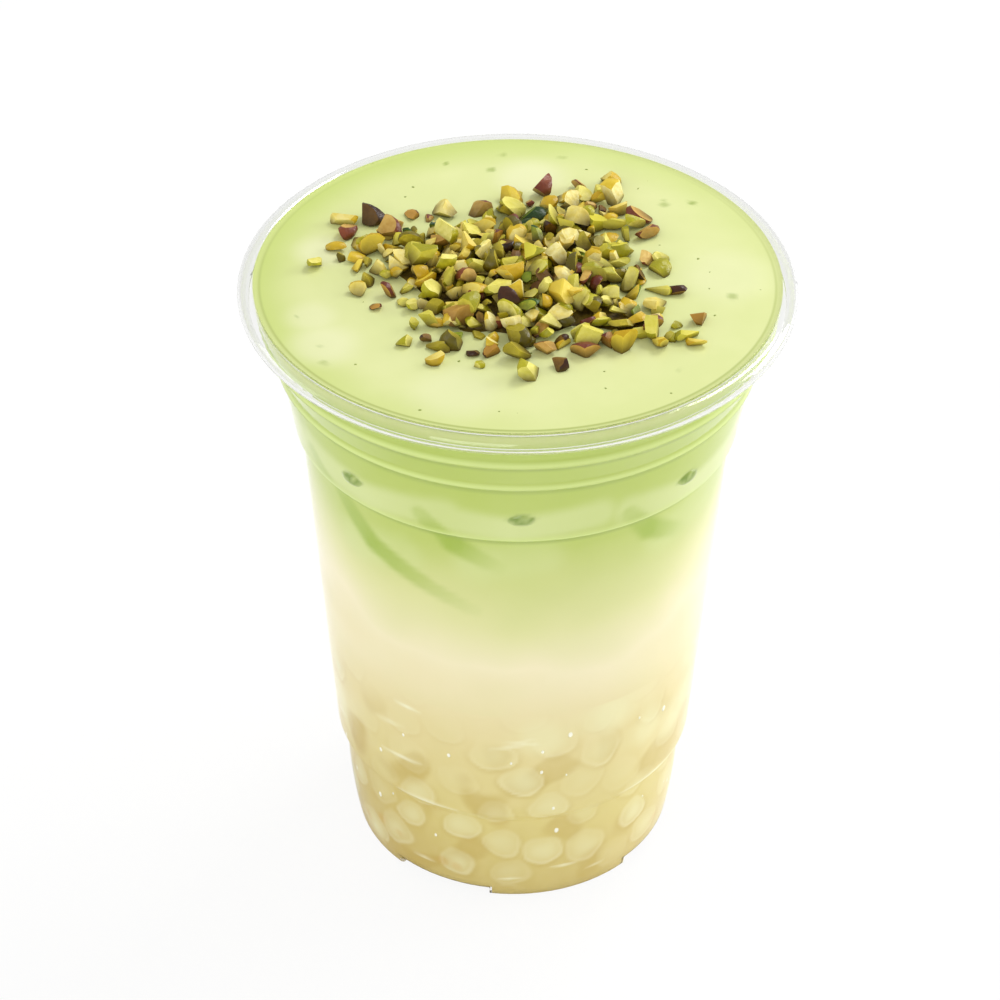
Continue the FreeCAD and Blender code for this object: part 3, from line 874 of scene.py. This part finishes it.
def makeGlints():
    material, tree, shade = newMaterial("glintHighlight")
    # near-white colour: painted highlight
    colour = addMottle(tree, srgb(255, 254, 240), srgb(246, 240, 206), 1.0 * mm, 0.4)
    tree.links.new(colour, shade.inputs["Base Color"])
    shade.inputs["Roughness"].default_value = 0.1
    chance = random.Random(glintSet["seed"])
    bm = bmesh.new()
    for _ in range(glintSet["count"]):
        azimuth, height = chance.uniform(-180, 180), chance.uniform(*glintSet["heights"])
        size = chance.uniform(*glintSet["sizes"])
        turn = Matrix.Rotation(math.radians(azimuth), 4, "Z")
        shape = Matrix.Translation(onWall(azimuth, height * mm, -drinkSet["intoWall"])) @ turn
        halfWide, halfTall = glintSet["wide"] / 2 * size, glintSet["tall"] / 2 * size
        shape = shape @ Matrix.Diagonal((halfWide, glintSet["deep"], halfTall, 1))
        bmesh.ops.create_icosphere(bm, subdivisions=2, radius=1.0, matrix=shape)
    piece = finishPiece("highlightGlintsAtWall", bm, [material], sharpAngle=0)
    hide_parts("pearl_bed")


drinkMaterial = makeDrinkMaterial()
makeCream(drinkMaterial)
makeMilk(drinkMaterial)
print("cream and milk made")
makeBed()
makePearls()
makeGlints()
print("bed made")


# chopped pistachios: bits cut from kernels, joined by kind
nutSet = {
    "seed": 23, "spacing": 3.0 * mm, "heapRadius": 21.0 * mm, "heapHeight": 3.3 * mm,
    "low": 3.0 * mm, "high": 6.2 * mm, "sunk": 0.35 * mm, "mound": 1.2 * mm,
    "tries": 6000, "acrossX": (-34, 36), "acrossY": (-30, 34),
    # each layer: share of the heap's height it lies at, share of the heap's reach it covers
    "layers": ((0.0, 1.0), (0.3, 0.92), (0.62, 0.8), (0.95, 0.6)),
}
heapSpurs = (
    # direction from +X, further reach in mm, how wide it fans out
    (60, 11, 13), (170, 8, 16), (150, 6, 12), (-35, 14, 13), (-120, 3, 12), (-85, 2, 14),
)
nutKinds = {
    # share of the heap, skin colours, flesh colours
    "limeBits": (0.31, ((150, 146, 10), (200, 192, 40)), ((214, 204, 50), (250, 240, 136))),
    "yellowBits": (0.38, ((200, 162, 18), (232, 202, 54)), ((236, 210, 64), (255, 246, 174))),
    "oliveBits": (0.15, ((86, 78, 2), (136, 122, 8)), ((158, 144, 12), (216, 198, 56))),
    "skinBits": (0.07, ((98, 40, 26), (150, 80, 46)), ((190, 140, 50), (234, 200, 110))),
    "darkBits": (0.05, ((44, 24, 10), (80, 44, 20)), ((102, 66, 14), (150, 112, 34))),
    "greenBits": (0.04, ((30, 62, 6), (58, 92, 14)), ((92, 124, 20), (178, 184, 54))),
}
nutShadow = (70, 52, 2)


def heapReach(angle):
    reach = nutSet["heapRadius"]
    for direction, further, fan in heapSpurs:
        apart = (angle - direction + 180) % 360 - 180
        reach += further * mm * math.exp(-(apart / fan) ** 2)
    return reach


def heapShare(x, y):
    # 0 in the heap's middle, 1 on its outline
    return math.hypot(x, y) / heapReach(math.degrees(math.atan2(y, x)))


def makeNutMaterials(kind):
    _, skin, flesh = nutKinds[kind]
    made = []
    for part, (dull, pale), patch, rough in (("Skin", skin, 1.4, 0.36), ("Flesh", flesh, 1.0, 0.48)):
        material, tree, shade = newMaterial(kind + part)
        colour = addMix(tree, addAttribute(tree, "tint"), srgb(*dull), srgb(*pale))
        colour = addMottle(tree, colour, srgb(*dull), patch * mm, 0.55)
        colour = addMix(tree, addAttribute(tree, "rind"), colour, srgb(*skin[0]))
        colour = addMix(tree, addAttribute(tree, "under"), colour, srgb(*nutShadow))
        tree.links.new(colour, shade.inputs["Base Color"])
        shade.inputs["Roughness"].default_value = rough
        shade.inputs["Specular IOR Level"].default_value = 0.4
        addBump(tree, shade, addNoise(tree, 1300.0, 3.0), 0.5, 0.3 * mm)
        made.append(material)
    return made


bitTones = ("tint", "rind", "under")


def addBit(target, place, size, chance, flat=1.0, long=1.0, cuts=5):
    # a kernel with some of its round skin left and the rest cut away in flat faces
    bit = bmesh.new()
    tint, rind, under = [bit.verts.layers.float.new(name) for name in bitTones]
    bmesh.ops.create_icosphere(bit, subdivisions=2, radius=0.6)
    shape = (long, chance.uniform(0.7, 1.0), chance.uniform(0.6, 0.9) * flat)
    for _ in range(cuts):
        way = Vector([chance.gauss(0, 1) for _ in range(3)]).normalized()
        deep = chance.uniform(0.16, 0.38)
        cut = bmesh.ops.bisect_plane(bit, geom=bit.verts[:] + bit.edges[:] + bit.faces[:],
                                     plane_co=way * deep, plane_no=way, clear_outer=True)
        rim = [item for item in cut["geom_cut"] if isinstance(item, bmesh.types.BMEdge)]
        if not rim:
            continue
        filled = bmesh.ops.edgeloop_fill(bit, edges=rim)
        for face in filled["faces"]:
            face.material_index = 1
    bmesh.ops.scale(bit, verts=bit.verts, vec=shape)
    tilt = 0.6 if flat > 0.5 else 0.3
    lean, pitch, spin = chance.uniform(-tilt, tilt), chance.uniform(-tilt, tilt), chance.uniform(0, math.tau)
    turn = Euler((lean, pitch, spin)).to_matrix()
    longest = max((vertex.co.length for vertex in bit.verts), default=1.0)
    value, amount = chance.random(), chance.uniform(0, 0.8)
    rindWay = Vector([chance.gauss(0, 1) for _ in range(3)]).normalized()
    for vertex in bit.verts:
        vertex[tint] = value
        vertex[rind] = amount * smoothStep(-0.1, 0.9, vertex.co.dot(rindWay) / longest)
        vertex.co = turn @ (vertex.co * (size / (2 * longest))) + place
    low, high = min(vertex.co.z for vertex in bit.verts), max(vertex.co.z for vertex in bit.verts)
    for vertex in bit.verts:
        # painted shade: the lower part of each bit darkened towards nutShadow
        vertex[under] = 0.95 * (1 - smoothStep(0.12, 0.7, (vertex.co.z - low) / (high - low)))
        vertex.co.z += place.z - low
    part = bpy.data.meshes.new("bit")
    bit.to_mesh(part)
    bit.free()
    target.from_mesh(part)
    bpy.data.meshes.remove(part)


# bits lying loose round the heap's outline
straySet = {
    "seed": 12, "count": 58, "tries": 4000, "far": 7 * mm, "gap": 2.8 * mm, "within": 38 * mm,
    "low": 2.6 * mm, "high": 6.4 * mm,
    "kinds": {"limeBits": 0.32, "yellowBits": 0.24, "skinBits": 0.22, "oliveBits": 0.12,
              "darkBits": 0.07, "greenBits": 0.03},
}


def placeStrays():
    chance = random.Random(straySet["seed"])
    strays = []
    for _ in range(straySet["tries"]):
        if len(strays) == straySet["count"]:
            break
        angle = chance.uniform(-180, 180)
        reach = heapReach(angle) + straySet["far"] * chance.random() ** 1.6
        x, y = reach * math.cos(math.radians(angle)), reach * math.sin(math.radians(angle))
        if reach > straySet["within"]:
            continue
        if any(math.hypot(x - px, y - py) < straySet["gap"] for px, py, *_ in strays):
            continue
        size = chance.uniform(straySet["low"], straySet["high"])
        kind = chance.choices(list(straySet["kinds"]), list(straySet["kinds"].values()))[0]
        strays.append((x, y, size, kind))
    return strays


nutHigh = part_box("chopped_pistachios")[1].z


def makeShadedCrumbMound():
    # crumbs deep in the heap, coloured dark as painted shade between the bits
    material, tree, shade = newMaterial("shadedCrumb")
    colour = addMottle(tree, srgb(112, 92, 10), srgb(60, 44, 4), 1.5 * mm, 0.9)
    tree.links.new(colour, shade.inputs["Base Color"])
    shade.inputs["Roughness"].default_value = 0.6
    addBump(tree, shade, addNoise(tree, 1200.0, 3.0), 0.8, 0.4 * mm)
    bm = bmesh.new()
    bmesh.ops.create_grid(bm, x_segments=90, y_segments=90, size=1.0)
    for vertex in bm.verts:
        x, y = vertex.co.x, vertex.co.y
        # the square grid drawn out to a disc
        share = max(abs(x), abs(y))
        angle = math.atan2(y, x)
        reach = heapReach(math.degrees(angle)) * 0.9 * share
        vertex.co.x, vertex.co.y = reach * math.cos(angle), reach * math.sin(angle)
        bump = noise.noise(Vector((vertex.co.x, vertex.co.y, 0)) / (2 * mm)) * 0.4 * mm
        rise = nutSet["mound"] * (1 - share ** 2) + bump * (1 - share)
        vertex.co.z = creamLevel - 0.3 * mm + rise
    return finishPiece("shadedCrumbMound", bm, [material], sharpAngle=0)


def makeNuts():
    chance = random.Random(nutSet["seed"])
    heaps = {kind: bmesh.new() for kind in nutKinds}
    for heap in heaps.values():
        for name in bitTones:
            heap.verts.layers.float.new(name)
    shares = [nutKinds[kind][0] for kind in nutKinds]
    taken, count = [], 0
    for lift, within in nutSet["layers"]:
        here = []
        for _ in range(nutSet["tries"]):
            x = chance.uniform(*nutSet["acrossX"]) * mm
            y = chance.uniform(*nutSet["acrossY"]) * mm
            share = heapShare(x, y)
            if share > within:
                continue
            gap = nutSet["spacing"] * (1 + 0.35 * max(0.0, share - 0.6))
            if any(math.hypot(x - px, y - py) < gap for px, py in here):
                continue
            here.append((x, y))
            kind = chance.choices(list(nutKinds), shares)[0]
            size = nutSet["low"] + (nutSet["high"] - nutSet["low"]) * chance.random() ** 1.4
            flat, long = chance.choice(((1.0, 1.0), (1.0, 1.15), (0.85, 1.35), (0.55, 1.15)))
            rise = nutSet["heapHeight"] * max(0.0, 1 - share ** 2) * lift
            addBit(heaps[kind], Vector((x, y, creamLevel - nutSet["sunk"] + rise)), size, chance, flat, long,
                   chance.choice((5, 6, 7)))
            count += 1
        taken.append(len(here))
    for x, y, size, kind in placeStrays():
        addBit(heaps[kind], Vector((x, y, creamLevel - nutSet["sunk"])), size, chance, 0.8, 1.15, 6)
        count += 1
    pieces = [makeShadedCrumbMound()]
    for kind, heap in heaps.items():
        for vertex in heap.verts:
            vertex.co.z = min(vertex.co.z, nutHigh)
        pieces.append(finishPiece(kind, heap, makeNutMaterials(kind), sharpAngle=34))
    for piece in pieces:
        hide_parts("chopped_pistachios")
    print("nut bits made:", count, "by layer", taken)


makeNuts()


# specks on the cream
speckSet = {"count": 36, "seed": 5, "low": 0.25 * mm, "high": 0.7 * mm, "reach": 0.94}


def makeSpecks():
    chance = random.Random(speckSet["seed"])
    material, tree, shade = newMaterial("greenSpeck")
    colour = addMottle(tree, srgb(140, 156, 66), srgb(166, 178, 92), 2 * mm, 0.8)
    tree.links.new(colour, shade.inputs["Base Color"])
    bm = bmesh.new()
    for _ in range(speckSet["count"]):
        angle = chance.uniform(0, math.tau)
        reach = math.sqrt(chance.uniform(0.15, 1)) * speckSet["reach"] * wallRadius(creamLevel)
        size = chance.uniform(speckSet["low"], speckSet["high"])
        shape = Matrix.Translation((reach * math.cos(angle), reach * math.sin(angle), creamLevel))
        shape = shape @ Matrix.Rotation(chance.uniform(0, math.tau), 4, "Z")
        shape = shape @ Matrix.Diagonal((1.0, chance.uniform(0.4, 0.9), 0.35, 1))
        bmesh.ops.create_icosphere(bm, subdivisions=1, radius=size / 2, matrix=shape)
    specks = finishPiece("greenSpecks", bm, [material], sharpAngle=0)


makeSpecks()
print("specks made")
